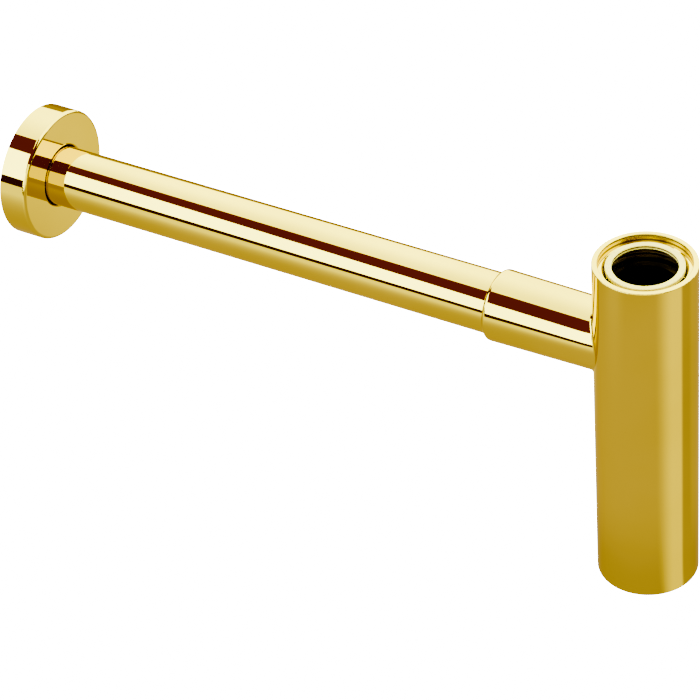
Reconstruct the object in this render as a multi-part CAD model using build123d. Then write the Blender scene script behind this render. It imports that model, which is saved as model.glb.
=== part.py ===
"""A slim bottle trap for a basin: body with outlet socket, dip tube, wall pipe, rosette and cleaning plug.

Millimetres. +Z is up along the inlet, +Y runs along the outlet pipe to the wall. The origin is on the inlet's
axis, at the outer end of the inlet's thread.
"""

import os

from build123d import *

# Clearances
running_clearance = 0.03
sliding_gap = 0.3
loose_gap = 0.4
thread_gap = 0.3

# Thread G 1 1/4 of the inlet and of the plug, its walls drawn at the pitch radius
thread_radius = 20.22
thread_relief = 0.98
inlet_thread_length = 7.5

# Wall pipe
pipe_radius = 16.0
pipe_wall = 1.0
pipe_bore_radius = pipe_radius - pipe_wall
pipe_end_chamfer = 0.4

# Trap body, built out from the inlet's thread by the lead-in, the step of the inlet's ring and the wall
lead_in_width = 0.78
lead_in_depth = 0.7
ring_step = 2.1
body_wall = 2.8
lead_in_radius = thread_radius + lead_in_width
body_bore_radius = lead_in_radius + ring_step
body_radius = body_bore_radius + body_wall
body_height = 190.5
body_edge_round = 0.5
rim_inner_round = 0.4
rim_recess = 3.3
rim_height = lead_in_depth + rim_recess
base_level = rim_height - body_height
outlet_drop = 51.8
outlet_level = rim_height - outlet_drop

# Outlet socket, slightly wider at its mouth
socket_root_wall = 1.6
socket_mouth_wall = 2.65
socket_root_radius = pipe_radius + socket_root_wall
socket_mouth_radius = pipe_radius + socket_mouth_wall
socket_length = 56.3
socket_mouth = body_radius + socket_length
socket_lip_round = 2.3
socket_bore_radius = pipe_radius + sliding_gap
socket_stop_setback = 8.0
socket_stop = body_radius + socket_stop_setback
socket_fillet = 1.6
socket_mouth_chamfer = 0.3

# Sealing rings of round section on the pipe
ring_section = 1.78
ring_groove_width = 2.3
ring_seat_radius = pipe_radius + running_clearance
ring_centre_radius = ring_seat_radius + ring_section / 2
ring_groove_radius = ring_seat_radius + ring_section + running_clearance
ring_inset = 7.3
ring_spacing = 6.5
socket_ring_outer = socket_mouth - ring_inset
socket_ring_inner = socket_ring_outer - ring_spacing

# Flat gasket, lying in the mouth of the thread until the basin waste presses it down
gasket_rest = 0.1
gasket_thickness = 2.0
gasket_edge = 0.25
gasket_rim_gap = 0.77
gasket_width = 3.25
gasket_top = gasket_rest + gasket_thickness
gasket_radius = thread_radius - gasket_rim_gap

# Dip tube, its flange below the thread, and the seal under the flange
gasket_seat_gap = 0.15
dip_tube_bore_radius = gasket_radius - gasket_width
dip_tube_wall = 1.0
dip_tube_radius = dip_tube_bore_radius + dip_tube_wall
flange_thickness = 2.0
flange_top = -inlet_thread_length - gasket_thickness - gasket_seat_gap
flange_bottom = flange_top - flange_thickness
seal_thickness = 1.0
seal_bottom = flange_bottom - seal_thickness
water_seal = 55.0
dip_tube_end = outlet_level - pipe_bore_radius - water_seal
ledge_thickness = 4.0
ledge_radius = dip_tube_radius + loose_gap
ledge_bottom = seal_bottom - ledge_thickness

# Cleaning plug and the ring in the foot of the body that it screws into
base_ring_height = 11.0
plug_head_overhang = 1.7
plug_head_radius = thread_radius + plug_head_overhang
plug_head_thickness = 3.0
plug_head_recess = 0.2
plug_head_bottom = base_level + plug_head_recess
plug_head_top = plug_head_bottom + plug_head_thickness
plug_head_chamfer = 0.4
plug_thread_length = 7.5
plug_thread_radius = thread_radius - thread_gap
plug_skirt_wall = 4.4
plug_bore_radius = plug_thread_radius - plug_skirt_wall
plug_crown = 2.6
plug_slot_width = 3.2
plug_slot_depth = 2.0
plug_slot_length = 1.4 * plug_head_radius
plug_groove_depth = 1.3
plug_groove_radius = plug_thread_radius - plug_groove_depth
plug_groove_width = 2.1
plug_ring_section = thread_radius - plug_groove_radius - 2 * running_clearance

# Wall rosette
rosette_cover = 19.35
rosette_radius = pipe_radius + rosette_cover
rosette_depth = 16.0
rosette_front = 344.7
rosette_back = rosette_front + rosette_depth
rosette_wall = 1.2
rosette_edge_round = 1.8
rosette_hole_round = 1.2
rosette_gap = 0.6
rosette_collar_wall = 3.4
rosette_collar_radius = pipe_radius + rosette_collar_wall
rosette_collar_depth = 8.0
rosette_bore_radius = pipe_radius + rosette_gap
rosette_ring_setback = 4.6
rosette_ring = rosette_front + rosette_ring_setback

# Where the pipe starts in the socket and ends at the wall
pipe_reserve = 16.0
pipe_stub = 8.0
pipe_start = socket_stop + pipe_reserve
pipe_end = rosette_back + pipe_stub


def outlet_plane(distance):
    """The plane across the outlet at a distance from the inlet's axis, facing the wall."""
    return Plane(origin=(0, distance, outlet_level), x_dir=(1, 0, 0), z_dir=(0, 1, 0))


def disc(radius, bottom, top):
    """A solid cylinder about the inlet's axis."""
    return Pos(0, 0, bottom) * Cylinder(radius, top - bottom, align=(Align.CENTER, Align.CENTER, Align.MIN))


def tube(outer, inner, bottom, top):
    """A plain tube about the inlet's axis."""
    return disc(outer, bottom, top) - disc(inner, bottom, top)


def outlet_disc(radius, start, end):
    """A solid cylinder about the outlet's axis."""
    return extrude(outlet_plane(start) * Circle(radius), end - start)


def round_ring(radius, section):
    """A ring of round section, flat on the ground plane."""
    return Torus(radius, section / 2)


def make_socket_blank():
    """The solid outside of the outlet socket, from the inlet's axis to its rounded mouth."""
    blank = loft(
        [
            outlet_plane(0) * Circle(socket_root_radius),
            outlet_plane(socket_mouth) * Circle(socket_mouth_radius),
        ]
    )
    mouth_edge = blank.edges().filter_by(GeomType.CIRCLE).sort_by(Axis.Y)[-1]
    return fillet(mouth_edge, socket_lip_round)


def make_trap_body():
    """The body tube with its outlet socket, bored for the pipe and grooved for the two sealing rings."""
    shell = disc(body_radius, base_level, rim_height)
    end_edges = shell.edges().filter_by(GeomType.CIRCLE)
    shell = fillet(end_edges, body_edge_round)
    joined = shell + make_socket_blank()
    root_edges = joined.edges().filter_by(GeomType.BSPLINE)
    joined = fillet(root_edges, socket_fillet)
    joined -= disc(body_bore_radius, base_level, rim_height)
    rim_edges = joined.edges().filter_by(GeomType.CIRCLE).group_by(Axis.Z)[-1]
    joined = fillet(rim_edges.sort_by(SortBy.RADIUS)[0], rim_inner_round)
    joined -= outlet_disc(pipe_bore_radius, 0, socket_mouth)
    joined -= outlet_disc(socket_bore_radius, socket_stop, socket_mouth)
    for ring_place in (socket_ring_outer, socket_ring_inner):
        groove_start = ring_place - ring_groove_width / 2
        joined -= outlet_disc(ring_groove_radius, groove_start, groove_start + ring_groove_width)
    mouth_edges = joined.edges().filter_by(GeomType.CIRCLE).group_by(Axis.Y)[-1]
    return chamfer(mouth_edges.sort_by(SortBy.RADIUS)[0], socket_mouth_chamfer)


def make_inlet_ring():
    """The threaded ring set back in the body's top: lead-in, thread relief and a ledge for the dip tube."""
    ring = tube(body_bore_radius, ledge_radius, ledge_bottom, lead_in_depth)
    ring -= disc(thread_radius + thread_relief, seal_bottom, -inlet_thread_length)
    ring -= disc(thread_radius, -inlet_thread_length, 0)
    lead_in = Cone(
        thread_radius,
        lead_in_radius,
        lead_in_depth,
        align=(Align.CENTER, Align.CENTER, Align.MIN),
    )
    return ring - lead_in


def make_inlet_gasket():
    """The flat washer between the basin waste and the dip tube's flange."""
    washer = tube(gasket_radius, dip_tube_bore_radius, gasket_rest, gasket_top)
    return chamfer(washer.edges().group_by(Axis.Z)[-1].filter_by(GeomType.CIRCLE), gasket_edge)


def make_dip_tube():
    """The flanged tube that ends below the water line."""
    flange = disc(gasket_radius, flange_bottom, flange_top)
    stem = disc(dip_tube_radius, dip_tube_end, flange_top)
    return flange + stem - disc(dip_tube_bore_radius, dip_tube_end, flange_top)


def make_dip_tube_seal():
    """The flat ring between the dip tube's flange and the ledge."""
    return tube(gasket_radius, ledge_radius, seal_bottom, flange_bottom)


def make_base_ring():
    """The threaded ring in the foot of the body, counterbored so that the plug's head lies flush."""
    ring = tube(body_bore_radius, thread_radius, base_level, base_level + base_ring_height)
    return ring - disc(plug_head_radius + loose_gap, base_level, plug_head_top)


def make_base_plug():
    """The screwed cleaning plug: slotted head, hollow threaded skirt and a groove for its ring."""
    skirt_top = plug_head_top + plug_thread_length
    head = disc(plug_head_radius, plug_head_bottom, plug_head_top)
    head = chamfer(head.edges().group_by(Axis.Z)[0], plug_head_chamfer)
    plug = head + disc(plug_thread_radius, plug_head_top, skirt_top)
    plug -= disc(plug_bore_radius, plug_head_bottom + plug_slot_depth + plug_crown, skirt_top)
    slot = Box(
        plug_slot_length,
        plug_slot_width,
        plug_slot_depth,
        align=(Align.CENTER, Align.CENTER, Align.MIN),
    )
    plug -= Pos(0, 0, plug_head_bottom) * slot
    groove_top = plug_head_top + plug_groove_width
    return plug - tube(plug_thread_radius, plug_groove_radius, plug_head_top, groove_top)


def make_base_plug_o_ring():
    """The ring in the groove above the plug's head."""
    centre_radius = plug_groove_radius + running_clearance + plug_ring_section / 2
    return Pos(0, 0, plug_head_top + plug_groove_width / 2) * round_ring(centre_radius, plug_ring_section)


def make_outlet_pipe():
    """The straight pipe from the socket through the rosette to the wall."""
    pipe = outlet_disc(pipe_radius, pipe_start, pipe_end)
    pipe -= outlet_disc(pipe_bore_radius, pipe_start, pipe_end)
    outer_ends = pipe.edges().filter_by(GeomType.CIRCLE).group_by(SortBy.RADIUS)[-1]
    return chamfer(outer_ends, pipe_end_chamfer)


def make_pipe_ring(distance):
    """A sealing ring on the pipe at a distance from the inlet's axis."""
    return outlet_plane(distance) * round_ring(ring_centre_radius, ring_section)


def make_wall_rosette():
    """The deep cap over the wall hole: flat face, straight side, open back and a grooved collar."""
    cap = outlet_disc(rosette_radius, rosette_front, rosette_back)
    front_edge = cap.edges().filter_by(GeomType.CIRCLE).sort_by(Axis.Y)[0]
    cap = fillet(front_edge, rosette_edge_round)
    cap -= outlet_disc(rosette_radius - rosette_wall, rosette_front + rosette_wall, rosette_back)
    collar_start = rosette_front + rosette_wall / 2
    cap += outlet_disc(rosette_collar_radius, collar_start, rosette_front + rosette_collar_depth)
    cap -= outlet_disc(rosette_bore_radius, rosette_front, rosette_back)
    hole_edge = cap.edges().filter_by(GeomType.CIRCLE).group_by(Axis.Y)[0].sort_by(SortBy.RADIUS)[0]
    cap = fillet(hole_edge, rosette_hole_round)
    groove_start = rosette_ring - ring_groove_width / 2
    return cap - outlet_disc(ring_groove_radius, groove_start, groove_start + ring_groove_width)


pieces = {
    "trap_body": make_trap_body(),
    "inlet_ring": make_inlet_ring(),
    "inlet_gasket": make_inlet_gasket(),
    "dip_tube": make_dip_tube(),
    "dip_tube_seal": make_dip_tube_seal(),
    "base_ring": make_base_ring(),
    "base_plug": make_base_plug(),
    "base_plug_o_ring": make_base_plug_o_ring(),
    "outlet_pipe": make_outlet_pipe(),
    "socket_o_ring_outer": make_pipe_ring(socket_ring_outer),
    "socket_o_ring_inner": make_pipe_ring(socket_ring_inner),
    "wall_rosette": make_wall_rosette(),
    "rosette_o_ring": make_pipe_ring(rosette_ring),
}

os.makedirs("parts", exist_ok=True)
for name, shape in pieces.items():
    export_step(shape, f"parts/{name}.step")
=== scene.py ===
"""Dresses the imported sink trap: its finishes, the threads that are drawn, a studio and the camera."""

import logging
import math
from dataclasses import dataclass
from enum import Enum

import bmesh
import bpy
from mathutils import Matrix, Vector


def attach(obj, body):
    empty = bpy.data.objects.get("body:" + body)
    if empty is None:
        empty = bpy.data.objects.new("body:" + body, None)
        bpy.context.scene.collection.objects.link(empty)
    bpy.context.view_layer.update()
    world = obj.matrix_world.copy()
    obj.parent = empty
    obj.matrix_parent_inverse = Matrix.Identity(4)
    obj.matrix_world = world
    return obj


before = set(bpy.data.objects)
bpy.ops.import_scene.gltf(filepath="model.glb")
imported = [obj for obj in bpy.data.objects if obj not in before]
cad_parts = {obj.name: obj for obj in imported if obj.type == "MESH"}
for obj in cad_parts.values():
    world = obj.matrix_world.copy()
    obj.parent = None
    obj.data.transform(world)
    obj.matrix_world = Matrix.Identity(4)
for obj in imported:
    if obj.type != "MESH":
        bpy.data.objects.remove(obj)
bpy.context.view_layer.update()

LOG = logging.getLogger("sink_trap")
MM = 0.001
OUTLET_LEVEL = -47.8 * MM
BASE_LEVEL = -186.5 * MM
MERGE_DISTANCE = 1e-6

Colour = tuple[float, float, float]
Triple = tuple[float, float, float]
Span = tuple[float, float]

WALL_SIDE: Span = (0.2, 4.5)
ROOM_SIDE: Span = (-3.5, 0.2)
BOTH_SIDES: Span = (-3.5, 4.5)
OVERHEAD_GLOW: Colour = (3.38, 3.65, 3.07)
DUSK_GLOW: Colour = (0.216, 0.026, 0.0)
FAR_TABLE_GLOW: Colour = (1.33, 1.31, 0.84)


def arc(start: float, end: float) -> Span:
    """A span of directions in radians, given in degrees."""
    return math.radians(start), math.radians(end)


class Lining(Enum):
    """Which hidden faces of a plated piece are left as bare brass."""

    NONE = "none"
    BODY = "body"
    PIPE = "pipe"
    CAP = "cap"


@dataclass(frozen=True)
class Grain:
    """One layer of noise: features per metre, finer layers, and a scale for each axis if it runs one way."""

    scale: float
    detail: float
    stretch: Triple | None = None


@dataclass(frozen=True)
class Relief:
    """How deep a bumped surface is, in metres, and how much of that shows."""

    depth: float
    share: float


class Value:
    """A number socket that takes part in Python arithmetic by adding Math nodes."""

    def __init__(self, graph: "Graph", socket: bpy.types.NodeSocket) -> None:
        """Wraps one output socket of a graph."""
        self.graph = graph
        self.socket = socket

    def _math(self, operation: str, first: object, second: object) -> "Value":
        """Adds one Math node.

        Args:
            operation: The Math node's operation.
            first: A Value or a number.
            second: A Value or a number.

        Returns:
            The node's result.
        """
        made = self.graph.node("ShaderNodeMath", {"operation": operation}, {0: first, 1: second})
        return Value(self.graph, made.outputs[0])

    def __add__(self, other: object) -> "Value":
        """self + other"""
        return self._math("ADD", self, other)

    def __radd__(self, other: object) -> "Value":
        """other + self"""
        return self._math("ADD", other, self)

    def __sub__(self, other: object) -> "Value":
        """self - other"""
        return self._math("SUBTRACT", self, other)

    def __rsub__(self, other: object) -> "Value":
        """other - self"""
        return self._math("SUBTRACT", other, self)

    def __mul__(self, other: object) -> "Value":
        """self * other"""
        return self._math("MULTIPLY", self, other)

    def __rmul__(self, other: object) -> "Value":
        """other * self"""
        return self._math("MULTIPLY", other, self)

    def __pow__(self, other: object) -> "Value":
        """self ** other"""
        return self._math("POWER", self, other)

    def reach(self, other: "Value") -> "Value":
        """The distance from the origin of the point at self along one axis and other along a second."""
        return (self * self + other * other) ** 0.5

    def heading(self, other: "Value") -> "Value":
        """The direction, in radians, of the point at self along one axis and other along a second."""
        return self._math("ARCTAN2", other, self)

    def above(self, step: Span) -> "Value":
        """A smooth step up.

        Args:
            step: Where it is still 0, and where it has reached 1.

        Returns:
            The stepped value, from 0 to 1.
        """
        made = self.graph.node(
            "ShaderNodeMapRange",
            {"interpolation_type": "SMOOTHSTEP"},
            {"Value": self, "From Min": step[0], "From Max": step[1]},
        )
        return Value(self.graph, made.outputs["Result"])

    def below(self, step: Span) -> "Value":
        """A smooth step down, from 1 at the start of the span to 0 at its end."""
        return 1.0 - self.above(step)

    def between(self, rise: Span, fall: Span) -> "Value":
        """A smooth step up over one span and down again over another."""
        return self.above(rise) * self.below(fall)


class Graph:
    """A node tree, built through one method."""

    def __init__(self, tree: bpy.types.NodeTree) -> None:
        """Starts from an empty tree."""
        self.tree = tree
        tree.nodes.clear()

    def node(
        self,
        kind: str,
        settings: dict[str, object] | None = None,
        sockets: dict[str | int, object] | None = None,
    ) -> bpy.types.Node:
        """Adds a node.

        Args:
            kind: The node's type.
            settings: Attributes that are set first.
            sockets: Values or links of its input sockets, by name or number.

        Returns:
            The new node.
        """
        made = self.tree.nodes.new(kind)
        for name, setting in (settings or {}).items():
            setattr(made, name, setting)
        for key, given in (sockets or {}).items():
            target = made.inputs[key]
            if isinstance(given, Value):
                self.tree.links.new(given.socket, target)
            elif isinstance(given, bpy.types.NodeSocket):
                self.tree.links.new(given, target)
            else:
                target.default_value = given
        return made

    def place(self) -> bpy.types.NodeSocket:
        """The point on the piece, in the trap's own frame."""
        return self.node("ShaderNodeTexCoord").outputs["Object"]

    def parts(self, vector: bpy.types.NodeSocket) -> tuple[Value, Value, Value]:
        """The three numbers of a vector."""
        split = self.node("ShaderNodeSeparateXYZ", None, {0: vector})
        return tuple(Value(self, out) for out in split.outputs)

    def noise(self, vector: bpy.types.NodeSocket, grain: Grain) -> Value:
        """Soft noise from 0 to 1.

        Args:
            vector: Where it is read.
            grain: How fine it is and which way it runs.

        Returns:
            The noise.
        """
        if grain.stretch is not None:
            mapping = self.node("ShaderNodeMapping", None, {"Vector": vector, "Scale": grain.stretch})
            vector = mapping.outputs[0]
        made = self.node(
            "ShaderNodeTexNoise", None, {"Vector": vector, "Scale": grain.scale, "Detail": grain.detail}
        )
        return Value(self, made.outputs["Fac"])

    def mix(self, share: Value, first: object, second: object) -> bpy.types.NodeSocket:
        """A colour between two.

        Args:
            share: 0 gives the first, 1 the second.
            first: A colour or a colour socket.
            second: A colour or a colour socket.

        Returns:
            The mixed colour's socket.
        """
        ends = [(*end, 1.0) if isinstance(end, tuple) else end for end in (first, second)]
        made = self.node("ShaderNodeMix", {"data_type": "RGBA"}, {0: share, 6: ends[0], 7: ends[1]})
        return made.outputs[2]

    def bump(self, height: Value, relief: Relief) -> bpy.types.NodeSocket:
        """A bumped normal.

        Args:
            height: The surface's height, from 0 to 1.
            relief: How deep it is and how much shows.

        Returns:
            The normal's socket.
        """
        made = self.node(
            "ShaderNodeBump",
            None,
            {"Height": height, "Distance": relief.depth, "Strength": relief.share},
        )
        return made.outputs[0]

    def surface(self, sockets: dict[str | int, object]) -> None:
        """Ends the graph in a Principled surface with these socket values and links."""
        shader = self.node("ShaderNodeBsdfPrincipled", None, sockets)
        self.node("ShaderNodeOutputMaterial", None, {"Surface": shader.outputs[0]})

    def glow(self, colour: object, paint: float = 0.0) -> None:
        """Ends the graph in a glowing surface.

        Args:
            colour: The light's colour or a colour socket.
            paint: How bright the plain paint under the glow is.
        """
        given = (*colour, 1.0) if isinstance(colour, tuple) else colour
        out = self.node("ShaderNodeEmission", None, {"Color": given}).outputs[0]
        if paint:
            under = self.node("ShaderNodeBsdfDiffuse", None, {"Color": (paint, paint, paint, 1.0)})
            out = self.node("ShaderNodeAddShader", None, {0: out, 1: under.outputs[0]}).outputs[0]
        self.node("ShaderNodeOutputMaterial", None, {"Surface": out})


def new_graph(name: str) -> tuple[bpy.types.Material, Graph]:
    """A new node material and its empty graph."""
    material = bpy.data.materials.new(name)
    material.use_nodes = True
    return material, Graph(material.node_tree)


@dataclass(frozen=True)
class PlatedGold:
    """Mirror-polished gold plating on brass, with bare brass on the faces that polishing doesn't reach."""

    name: str
    lining: Lining = Lining.NONE

    light: Colour = (0.764, 0.620, 0.133)
    deep: Colour = (0.722, 0.583, 0.114)
    edge: Colour = (0.88, 0.80, 0.58)
    polish: float = 0.018
    haze: float = 0.022
    cloud: Grain = Grain(14.0, 3.0)
    cloud_step: Span = (0.3, 0.7)
    cloud_share: float = 0.4
    fine: Grain = Grain(900.0, 4.0)
    wipe: Grain = Grain(520.0, 3.0, (1.0, 0.12, 0.12))
    wipe_share: float = 0.6
    relief: Relief = Relief(0.02 * MM, 0.05)

    bare: Colour = (0.417, 0.320, 0.179)
    bare_depth: float = 0.7
    bare_step: Span = (0.2, 0.8)
    bare_rough: float = 0.30
    cut: Grain = Grain(1400.0, 4.0, (1.0, 1.0, 0.05))
    cut_rough: float = 0.15
    body_bore: Span = (23.2 * MM, 23.6 * MM)
    socket_bore: Span = (16.6 * MM, 17.0 * MM)
    socket_root: Span = (15.0 * MM, 20.0 * MM)
    pipe_bore: Span = (15.2 * MM, 15.6 * MM)
    cap_side: Span = (34.5 * MM, 34.9 * MM)
    cap_face: Span = (346.0 * MM, 346.3 * MM)

    # Painted shade on the recess's turned wall: this colour darkens the wall's foot and a band under the rim.
    shade: Colour = (0.070, 0.038, 0.007)
    shade_share: float = 0.85
    turned_rough: float = 0.30
    recess_floor: Span = (0.0, 0.5 * MM)
    recess_wall: Span = (23.15 * MM, 23.40 * MM)
    foot_shade_height: Span = (1.1 * MM, 1.5 * MM)
    rim_shade_band: tuple[Span, Span] = ((2.9 * MM, 3.15 * MM), (3.5 * MM, 3.7 * MM))

    def lined(self, graph: Graph, place: bpy.types.NodeSocket) -> Value | None:
        """How much of a point is bare brass.

        Args:
            graph: The material's graph.
            place: The point on the piece.

        Returns:
            0 on the plated outside and 1 on the bare faces, or None for a piece that is plated all over.
        """
        if self.lining is Lining.NONE:
            return None
        x, y, z = graph.parts(place)
        round_outlet = x.reach(z - OUTLET_LEVEL)
        if self.lining is Lining.PIPE:
            return round_outlet.below(self.pipe_bore)
        if self.lining is Lining.CAP:
            return round_outlet.below(self.cap_side) * y.above(self.cap_face)
        bore = x.reach(y).below(self.body_bore)
        socket_bore = round_outlet.below(self.socket_bore) * y.above(self.socket_root)
        return ((bore + socket_bore) * z.below(self.recess_floor)).above(self.bare_step)

    def turned(self, graph: Graph, place: bpy.types.NodeSocket) -> tuple[Value, Value]:
        """The turned wall of the inlet's recess, which is satin and not mirror bright.

        Args:
            graph: The material's graph.
            place: The point on the piece.

        Returns:
            How much of a point lies on that wall, and how much painted shade it gets there: a band of painted
            shade under the rim and painted shade at the foot of the wall.
        """
        x, y, z = graph.parts(place)
        wall = x.reach(y).below(self.recess_wall) * z.above(self.recess_floor)
        # Painted shade: darker at the wall's foot and in a band under the rim.
        dark = z.below(self.foot_shade_height) + z.between(*self.rim_shade_band)
        return wall, dark * self.shade_share

    def material(self) -> bpy.types.Material:
        """The finish as a node material."""
        made, graph = new_graph(self.name)
        place = graph.place()
        cloud = graph.noise(place, self.cloud).above(self.cloud_step)
        fine = graph.noise(place, self.fine)
        wipe = graph.noise(place, self.wipe)
        colour = graph.mix(cloud, self.deep, self.light)
        rough = self.polish + self.haze * (fine * (1.0 - self.cloud_share) + cloud * self.cloud_share)
        bare = self.lined(graph, place)
        if bare is not None:
            cut = graph.noise(place, self.cut)
            dull = graph.mix(cut, self.bare, tuple(channel * self.bare_depth for channel in self.bare))
            colour = graph.mix(bare, colour, dull)
            rough = rough + bare * (self.bare_rough + cut * self.cut_rough)
        if self.lining is Lining.BODY:
            wall, dark = self.turned(graph, place)
            # Painted shade on the recess wall, mixed into the base colour.
            colour = graph.mix(wall * dark, colour, self.shade)
            rough = rough + wall * self.turned_rough
        height = fine * (1.0 - self.wipe_share) + wipe * self.wipe_share
        graph.surface(
            {
                "Base Color": colour,
                "Metallic": 1.0,
                "Roughness": rough,
                "Specular Tint": (*self.edge, 1.0),
                "Normal": graph.bump(height, self.relief),
            }
        )
        return made


@dataclass(frozen=True)
class DrawnBrass:
    """Unpolished brass with the fine lines of drawing along the tube, its colours darkened far below brass as
    painted shade.
    """

    name: str
    # Painted shade: near-black colours that stand in for the shade deep in the inlet.
    light: Colour = (0.042, 0.028, 0.012)
    deep: Colour = (0.017, 0.011, 0.005)
    rough: float = 0.26
    lines: Grain = Grain(1600.0, 4.0, (1.0, 1.0, 0.03))
    lines_rough: float = 0.18
    stain: Grain = Grain(60.0, 4.0)
    stain_step: Span = (0.35, 0.75)
    stain_share: float = 0.4
    stain_rough: float = 0.10
    relief: Relief = Relief(0.04 * MM, 0.35)

    def material(self) -> bpy.types.Material:
        """The finish as a node material."""
        made, graph = new_graph(self.name)
        place = graph.place()
        lines = graph.noise(place, self.lines)
        stain = graph.noise(place, self.stain).above(self.stain_step)
        share = lines * (1.0 - self.stain_share) + stain * self.stain_share
        graph.surface(
            {
                "Base Color": graph.mix(share, self.light, self.deep),
                "Metallic": 1.0,
                "Roughness": self.rough + self.lines_rough * lines + self.stain_rough * stain,
                "Normal": graph.bump(lines, self.relief),
            }
        )
        return made


@dataclass(frozen=True)
class MouldedRubber:
    """Moulded rubber, black unless told otherwise, with a faint bloom and a fine matt skin."""

    name: str
    light: Colour = (0.030, 0.029, 0.027)
    deep: Colour = (0.012, 0.012, 0.011)
    rough: float = 0.45
    specular: float = 0.25
    bloom: Grain = Grain(180.0, 4.0)
    bloom_step: Span = (0.3, 0.75)
    bloom_rough: float = 0.15
    skin: Grain = Grain(3500.0, 3.0)
    relief: Relief = Relief(0.03 * MM, 0.4)
    # Painted shade: a dark band round the bore's wall, between two heights, on pieces given a bore.
    bore_shade: Colour = (0.17, 0.09, 0.02)
    shaded_bore: Span | None = None
    bore_shade_band: tuple[Span, Span] = ((0.9 * MM, 1.1 * MM), (1.6 * MM, 1.8 * MM))

    def material(self) -> bpy.types.Material:
        """The finish as a node material, with a band of painted shade in the bore if the piece is given one.
        """
        made, graph = new_graph(self.name)
        place = graph.place()
        bloom = graph.noise(place, self.bloom).above(self.bloom_step)
        skin = graph.noise(place, self.skin)
        colour = graph.mix(bloom, self.deep, self.light)
        # Painted shade on the bore's wall.
        if self.shaded_bore is not None:
            x, y, z = graph.parts(place)
            inside = x.reach(y).below(self.shaded_bore)
            colour = graph.mix(inside * z.between(*self.bore_shade_band), colour, self.bore_shade)
        graph.surface(
            {
                "Base Color": colour,
                "Roughness": self.rough + self.bloom_rough * bloom,
                "Specular IOR Level": self.specular,
                "Normal": graph.bump(skin, self.relief),
            }
        )
        return made


def finished(name: str, build: bmesh.types.BMesh, material: bpy.types.Material) -> bpy.types.Object:
    """Turns a bmesh into a smooth piece at the origin.

    Args:
        name: The piece's name.
        build: The shape, in the trap's own frame.
        material: Its finish.

    Returns:
        The new object.
    """
    bmesh.ops.remove_doubles(build, verts=build.verts, dist=MERGE_DISTANCE)
    bmesh.ops.recalc_face_normals(build, faces=build.faces)
    for face in build.faces:
        face.smooth = True
    mesh = bpy.data.meshes.new(name)
    build.to_mesh(mesh)
    build.free()
    mesh.materials.append(material)
    piece = bpy.data.objects.new(name, mesh)
    bpy.context.scene.collection.objects.link(piece)
    return piece


def dress(node: str, material: bpy.types.Material) -> None:
    """Gives a CAD piece its finish."""
    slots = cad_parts[node].data.materials
    slots.clear()
    slots.append(material)
    LOG.info("dressed %s in %s", node, material.name)


@dataclass
class ScrewThread:
    """One drawn pipe thread: a ridge of a fixed profile wound round the inlet's axis."""

    name: str
    body: str
    root: float
    crest: float
    start: float
    turns: float
    pitch: float = 2.309 * MM
    foot: float = 1.35 * MM
    top: float = 0.45 * MM
    steps_a_turn: int = 96
    runout: float = math.radians(50)
    least_fade: float = 0.02
    slot: str = "polished_gold"

    def build(self, material: bpy.types.Material) -> bpy.types.Object:
        """Winds the ridge and fades both of its ends into the wall.

        Args:
            material: The ridge's finish.

        Returns:
            The ridge.
        """
        steps = round(self.turns * self.steps_a_turn)
        sweep = self.turns * math.tau
        profile = (
            (self.root, -self.foot),
            (self.crest, -self.top),
            (self.crest, self.top),
            (self.root, self.foot),
        )
        winding = bmesh.new()
        ring = [winding.verts.new((radius, 0.0, self.start + width / 2)) for radius, width in profile]
        section = winding.faces.new(ring)
        bmesh.ops.spin(
            winding,
            geom=[section, *section.edges, *section.verts],
            cent=(0.0, 0.0, 0.0),
            axis=(0.0, 0.0, 1.0),
            dvec=(0.0, 0.0, self.pitch * self.turns / steps),
            angle=sweep,
            steps=steps,
            use_merge=False,
            use_duplicate=False,
        )
        for corner in winding.verts:
            turned = (corner.co.z - self.start) / self.pitch * math.tau
            fade = min(1.0, max(self.least_fade, min(turned, sweep - turned) / self.runout))
            radius = corner.co.xy.length
            wanted = self.root + (radius - self.root) * fade
            corner.co.xy *= wanted / radius
        ridge = finished(self.name, winding, material)
        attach(ridge, self.body)
        LOG.info("wound %s over %.1f turns", self.name, self.turns)
        return ridge


@dataclass
class Body:
    """The trap's body with its inlet and base rings, dip tube, seal and washer."""

    inlet_wall: float = 20.24 * MM
    inlet_crest: float = 19.50 * MM
    inlet_thread_start: float = -6.75 * MM
    inlet_thread_turns: float = 2.6
    shell: PlatedGold = PlatedGold("gold_body", Lining.BODY)
    rings: PlatedGold = PlatedGold("gold_rings")
    # The dip tube is painted near black as shade.
    tube: DrawnBrass = DrawnBrass("drawn_brass_painted_shade")
    washer: MouldedRubber = MouldedRubber(
        "cream_rubber",
        light=(0.98, 0.88, 0.28),
        deep=(0.92, 0.80, 0.21),
        rough=0.40,
        # The washer's bore gets a band of painted shade.
        shaded_bore=(16.25 * MM, 16.35 * MM),
    )
    seal: MouldedRubber = MouldedRubber("black_rubber")
    # Painted shade: the inlet thread's brass is darkened to stand in for the shade inside the inlet.
    thread: DrawnBrass = DrawnBrass("thread_brass_painted_shade", light=(0.14, 0.094, 0.043), deep=(0.07, 0.044, 0.019))

    def dress(self) -> None:
        """Gives the body's pieces their finishes."""
        dress("trap_body", self.shell.material())
        plated = self.rings.material()
        for ring in ("inlet_ring", "base_ring"):
            dress(ring, plated)
        dress("inlet_gasket", self.washer.material())
        dress("dip_tube", self.tube.material())
        dress("dip_tube_seal", self.seal.material())

    def build(self) -> None:
        """Winds the inlet's thread."""
        ScrewThread(
            "inlet_thread",
            "trap",
            self.inlet_wall,
            self.inlet_crest,
            self.inlet_thread_start,
            self.inlet_thread_turns,
            slot="plain_brass",
        ).build(self.thread.material())


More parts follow.
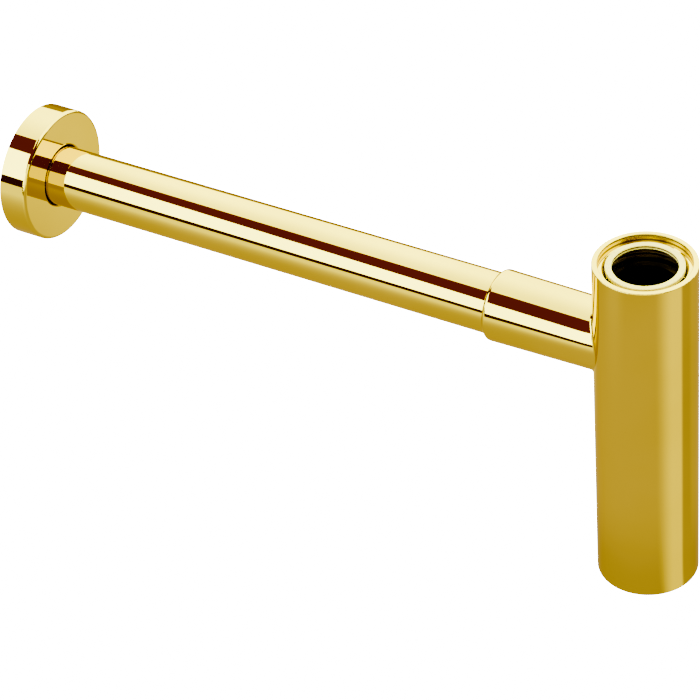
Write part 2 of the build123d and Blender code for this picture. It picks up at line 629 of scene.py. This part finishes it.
@dataclass
class Outlet:
    """The wall pipe with its sealing rings, and the rosette with its grip ring."""

    pipe: PlatedGold = PlatedGold("gold_pipe", Lining.PIPE)
    rosette: PlatedGold = PlatedGold("gold_rosette", Lining.CAP)
    seal: MouldedRubber = MouldedRubber("black_seals", light=(0.032, 0.031, 0.029), rough=0.35)

    def dress(self) -> None:
        """Gives the outlet's pieces their finishes."""
        dress("outlet_pipe", self.pipe.material())
        dress("wall_rosette", self.rosette.material())
        black = self.seal.material()
        for ring in ("socket_o_ring_outer", "socket_o_ring_inner", "rosette_o_ring"):
            dress(ring, black)


@dataclass
class CleaningPlug:
    """The screwed plug in the base with its ring and its drawn thread."""

    skirt: float = 19.92 * MM
    crest: float = 20.14 * MM
    start: float = -180.4 * MM
    turns: float = 1.65
    plug: PlatedGold = PlatedGold("gold_plug")
    seal: MouldedRubber = MouldedRubber("black_plug_seal")
    thread: PlatedGold = PlatedGold("gold_plug_thread")

    def dress(self) -> None:
        """Gives the plug's pieces their finishes."""
        dress("base_plug", self.plug.material())
        dress("base_plug_o_ring", self.seal.material())

    def build(self) -> None:
        """Winds the plug's thread."""
        ScrewThread(
            "plug_thread",
            "plug",
            self.skirt,
            self.crest,
            self.start,
            self.turns,
        ).build(self.thread.material())


@dataclass(frozen=True)
class Card:
    """A long glowing card bent round the wall pipe and twisted along it, seen only as a reflection.

    Its two edges are angles in degrees about the pipe's axis, from +X over the top: near before the twist and
    far after it. It reaches from one place along the pipe to another.
    """

    name: str
    near: Span
    far: Span
    glow: Colour
    dimmed: Colour | None = None
    reach: Span = WALL_SIDE
    radius: float = 2.0


@dataclass(frozen=True)
class TableLight:
    """The table's light: dim round the foot, brighter far off and in a patch to one side."""

    foot: Colour = (0.518, 0.435, 0.290)
    near: Colour = (0.626, 0.531, 0.360)
    near_reach: Span = (26.0 * MM, 90.0 * MM)
    front: Colour = FAR_TABLE_GLOW
    front_across: Span = (60.0 * MM, 550.0 * MM)
    front_along: Span = (60.0 * MM, 300.0 * MM)
    behind: Colour = (1.08, 0.99, 0.60)
    behind_across: Span = (20.0 * MM, 160.0 * MM)
    behind_along: Span = (0.0, 120.0 * MM)
    away: Colour = (0.490, 0.397, 0.270)
    away_across: Span = (300.0 * MM, 600.0 * MM)
    corner: Colour = (0.42, 0.31, 0.10)
    corner_slope: float = 0.553
    corner_along: Span = (30.0 * MM, 110.0 * MM)
    corner_across: Span = (200.0 * MM, 320.0 * MM)
    fan_x: float = -13.6 * MM
    fan_y: float = -11.3 * MM
    strip: Colour = (0.533, 0.448, 0.300)
    strip_edges: tuple[Span, Span] = (arc(-70, -64), arc(-50, -35))
    patch: Colour = (1.116, 1.024, 0.550)
    patch_edges: tuple[Span, Span] = (arc(-137, -92), arc(-74, -66))

    def material(self) -> bpy.types.Material:
        """The light as a node material, each region laid over the ones before it."""
        made, graph = new_graph("table_glow")
        x, y, _ = graph.parts(graph.place())
        side = (x - self.fan_x).heading(y - self.fan_y)
        corner = (y - x * self.corner_slope).above(self.corner_along) * x.above(self.corner_across)
        regions = (
            ((0.0 - x).above(self.front_across) * y.above(self.front_along), self.front),
            (x.above(self.behind_across) * y.above(self.behind_along), self.behind),
            (x.above(self.away_across), self.away),
            (corner, self.corner),
            (side.between(*self.strip_edges), self.strip),
            (side.between(*self.patch_edges), self.patch),
        )
        lit = graph.mix(x.reach(y).above(self.near_reach), self.foot, self.near)
        for share, colour in regions:
            lit = graph.mix(share, lit, colour)
        graph.glow(lit)
        return made


@dataclass
class Studio:
    """The pale floor, the table and cards that the polish mirrors, the world and the camera."""

    floor_level: float = BASE_LEVEL - 2.0
    floor_size: float = 30.0
    floor_glow: Colour = (8.0, 8.0, 8.0)
    floor_paint: float = 0.3
    table_level: float = BASE_LEVEL + 0.1 * MM
    table_size: float = 3.0
    table_light: TableLight = TableLight()
    low_level: float = BASE_LEVEL - 0.3
    low_size: float = 1.5
    low_glow: Colour = (0.626, 0.531, 0.315)
    twist_reach: Span = (0.3, 1.0)
    dimming: Span = arc(40, 105)
    steps_round: int = 24
    steps_along: int = 48
    cards: tuple[Card, ...] = (
        Card("card_back", (-60.0, -9.5), (-60.0, 21.3), (0.55, 0.44, 0.23)),
        Card("card_overhead", (-9.5, 112.8), (21.3, 85.5), OVERHEAD_GLOW, dimmed=(2.30, 2.43, 1.81)),
        Card("card_dusk", (112.8, 153.2), (85.5, 106.5), DUSK_GLOW),
        Card("card_front", (153.2, 187.0), (106.5, 168.0), (3.75, 4.25, 4.70)),
        Card("card_far_table", (187.0, 197.0), (168.0, 197.0), FAR_TABLE_GLOW, reach=BOTH_SIDES),
        Card(
            "card_horizon",
            (182.5, 191.0),
            (166.3, 179.5),
            (0.072, 0.008, 0.0),
            reach=(0.2, 1.6),
            radius=1.0,
        ),
        Card("card_near_overhead", (1.0, 92.0), (1.0, 92.0), OVERHEAD_GLOW, reach=ROOM_SIDE),
        Card("card_near_dusk", (92.0, 138.0), (92.0, 138.0), DUSK_GLOW, reach=ROOM_SIDE),
        Card("card_near_front", (138.0, 187.0), (138.0, 187.0), (2.02, 2.11, 1.51), reach=ROOM_SIDE),
    )
    backdrop: float = 8.0
    dim: Colour = (0.036, 0.013, 0.0)
    azimuth: float = -56.855
    elevation: float = 37.568
    roll: float = -4.482
    camera_place: Triple = (-1.15309, -0.58109, 0.95221)
    lens: float = 171.636
    sensor: float = 36.0
    sight: float = 100.0

    def sheet(self, name: str, half: float, level: float, material: bpy.types.Material) -> bpy.types.Object:
        """A flat square of the stage.

        Args:
            name: The object's name.
            half: Half of its side.
            level: Its height.
            material: Its material.

        Returns:
            The square.
        """
        flat = bmesh.new()
        bmesh.ops.create_grid(flat, x_segments=1, y_segments=1, size=half)
        bmesh.ops.translate(flat, verts=flat.verts, vec=(0.0, 0.0, level))
        made = finished(name, flat, material)
        return made

    def build_floor(self) -> None:
        """Lays the pale floor, the table that only reflections see, and a low sheet that lights the base."""
        pale, pale_graph = new_graph("pale_floor")
        pale_graph.glow(self.floor_glow, self.floor_paint)
        floor = self.sheet("floor", self.floor_size, self.floor_level, pale)
        floor.visible_glossy = False
        table = self.sheet("table", self.table_size, self.table_level, self.table_light.material())
        low_light, low_graph = new_graph("low_glow")
        low_graph.glow(self.low_glow)
        low = self.sheet("low_sheet", self.low_size, self.low_level, low_light)
        for mirrored in (table, low):
            mirrored.visible_camera = False
            mirrored.visible_diffuse = False
            mirrored.visible_shadow = False
            mirrored.visible_transmission = False

    def card_glow(self, card: Card) -> bpy.types.Material:
        """A card's light, dimmed towards its end if the card has a second colour."""
        made, graph = new_graph(card.name)
        if card.dimmed is None:
            graph.glow(card.glow)
            return made
        x, _, z = graph.parts(graph.place())
        turned = x.heading(z - OUTLET_LEVEL).above(self.dimming)
        graph.glow(graph.mix(turned, card.glow, card.dimmed))
        return made

    def build_cards(self) -> None:
        """Bends each card round the pipe's axis and twists it along the pipe."""
        twist_from, twist_to = self.twist_reach
        for card in self.cards:
            first, last = card.reach
            strip = bmesh.new()
            bmesh.ops.create_grid(strip, x_segments=self.steps_round, y_segments=self.steps_along, size=0.5)
            for corner in strip.verts:
                across, along = corner.co.x + 0.5, corner.co.y + 0.5
                distance = first + along * (last - first)
                twist = min(1.0, max(0.0, (distance / card.radius - twist_from) / (twist_to - twist_from)))
                begin, end = (near + twist * (far - near) for near, far in zip(card.near, card.far))
                angle = math.radians(begin + across * (end - begin))
                height = OUTLET_LEVEL + math.sin(angle) * card.radius
                corner.co = (math.cos(angle) * card.radius, distance, height)
            made = finished(card.name, strip, self.card_glow(card))
            made.visible_camera = False
            made.visible_shadow = False
            LOG.info("bent %s from %.0f to %.0f degrees", card.name, *card.near)

    def build_world(self) -> None:
        """White to the camera, dim brown to everything else."""
        world = bpy.data.worlds.new("studio")
        world.use_nodes = True
        graph = Graph(world.node_tree)
        seen = graph.node("ShaderNodeLightPath").outputs["Is Camera Ray"]
        white = graph.node(
            "ShaderNodeBackground", None, {"Color": (1.0, 1.0, 1.0, 1.0), "Strength": self.backdrop}
        )
        dim = graph.node("ShaderNodeBackground", None, {"Color": (*self.dim, 1.0), "Strength": 1.0})
        both = graph.node("ShaderNodeMixShader", None, {0: seen, 1: dim.outputs[0], 2: white.outputs[0]})
        graph.node("ShaderNodeOutputWorld", None, {"Surface": both.outputs[0]})
        bpy.context.scene.world = world

    def build_camera(self) -> None:
        """Sets the camera where the photograph was taken from."""
        lens = bpy.data.cameras.new("camera")
        lens.lens = self.lens
        lens.sensor_width = self.sensor
        lens.clip_end = self.sight
        turn, lift, tilt = (math.radians(angle) for angle in (self.azimuth, self.elevation, self.roll))
        back = Vector((math.sin(turn) * math.cos(lift), -math.cos(turn) * math.cos(lift), math.sin(lift)))
        right = Vector((math.cos(turn), math.sin(turn), 0.0))
        up = back.cross(right)
        leaned = math.cos(tilt) * right + math.sin(tilt) * up
        upright = math.cos(tilt) * up - math.sin(tilt) * right
        stand = Matrix((leaned, upright, back)).transposed().to_4x4()
        stand.translation = Vector(self.camera_place)
        camera = bpy.data.objects.new("camera", lens)
        camera.matrix_world = stand
        bpy.context.scene.collection.objects.link(camera)
        bpy.context.scene.camera = camera

    def build(self) -> None:
        """Sets up the whole studio."""
        self.build_floor()
        self.build_cards()
        self.build_world()
        self.build_camera()
        view = bpy.context.scene.view_settings
        view.view_transform = "AgX"
        view.look = "AgX - High Contrast"


def main() -> None:
    """Dresses the pieces in order, and adds the drawn threads and the studio."""
    logging.basicConfig(level=logging.INFO, format="%(name)s: %(message)s")
    body = Body()
    body.dress()
    body.build()
    Outlet().dress()
    plug = CleaningPlug()
    plug.dress()
    plug.build()
    Studio().build()


if __name__ == "__main__":
    main()
